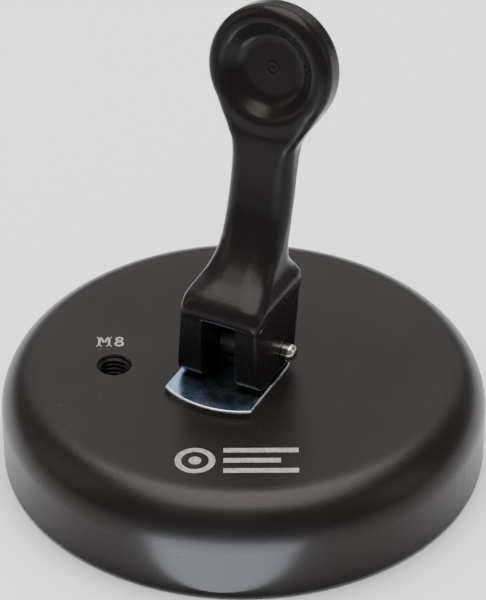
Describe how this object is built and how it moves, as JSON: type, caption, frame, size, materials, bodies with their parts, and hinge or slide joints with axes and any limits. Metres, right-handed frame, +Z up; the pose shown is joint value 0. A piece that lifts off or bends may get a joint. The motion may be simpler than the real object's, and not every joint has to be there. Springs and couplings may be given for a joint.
{
  "type": "lever suction base",
  "caption": "Round lever-operated suction base with a threaded hole for an instrument arm; the cam lever swivels and folds down to pull the rubber pad up.",
  "frame": {"origin": "centre of the underside, on the surface the base stands on, on the lever's swivel axis", "axes": "+Z up along the swivel axis; X along the lever's cross pin, +X at its domed end; the lever folds down toward -Y; the threaded hole is at a polar angle of 208 degrees"},
  "size_m": [0.12, 0.12, 0.1169],
  "materials": {
    "housing_black": "fine satin black coating",
    "lever_black": "smooth semi-gloss black oxide",
    "zinc_plate": "bright zinc plated",
    "pin_zinc": "yellowish zinc plated",
    "stud_steel": "turned steel",
    "spring_steel": "oiled spring steel",
    "bronze": "machined bearing bronze",
    "pad_rubber": "moulded rubber"
  },
  "bodies": {
    "base": {"housing": "housing_black", "guide_bush": "bronze", "suction_pad": "pad_rubber", "return_spring": "spring_steel"},
    "turntable": {"wear_plate": "zinc_plate"},
    "stud": {"pull_stud": "stud_steel", "thrust_washer": "spring_steel"},
    "lever": {"cam_lever": "lever_black", "pivot_pin": "pin_zinc", "pin_clip": "spring_steel"},
    "pad_core": {"pad_insert": "stud_steel"}
  },
  "joints": [
    {"name": "swivel", "type": "hinge", "parent": "base", "child": "turntable", "pos_m": [0, 0, 0.025], "axis": [0, 0, 1], "continuous": true},
    {"name": "stud_lift", "type": "slide", "parent": "turntable", "child": "stud", "axis": [0, 0, 1], "range_m": [0, 0.0096]},
    {"name": "lever_fold", "type": "hinge", "parent": "stud", "child": "lever", "pos_m": [0, 0, 0.0321], "axis": [1, 0, 0], "range_deg": [0, 90]},
    {"name": "pad_lift", "type": "slide", "parent": "base", "child": "pad_core", "axis": [0, 0, 1], "range_m": [0, 0.0096], "deforming": ["suction_pad", "return_spring"]}
  ],
  "couplings": [
    {"joint": "stud_lift", "follows": "lever_fold", "m_per_rad": 0.006111},
    {"joint": "pad_lift", "follows": "lever_fold", "m_per_rad": 0.006111}
  ]
}
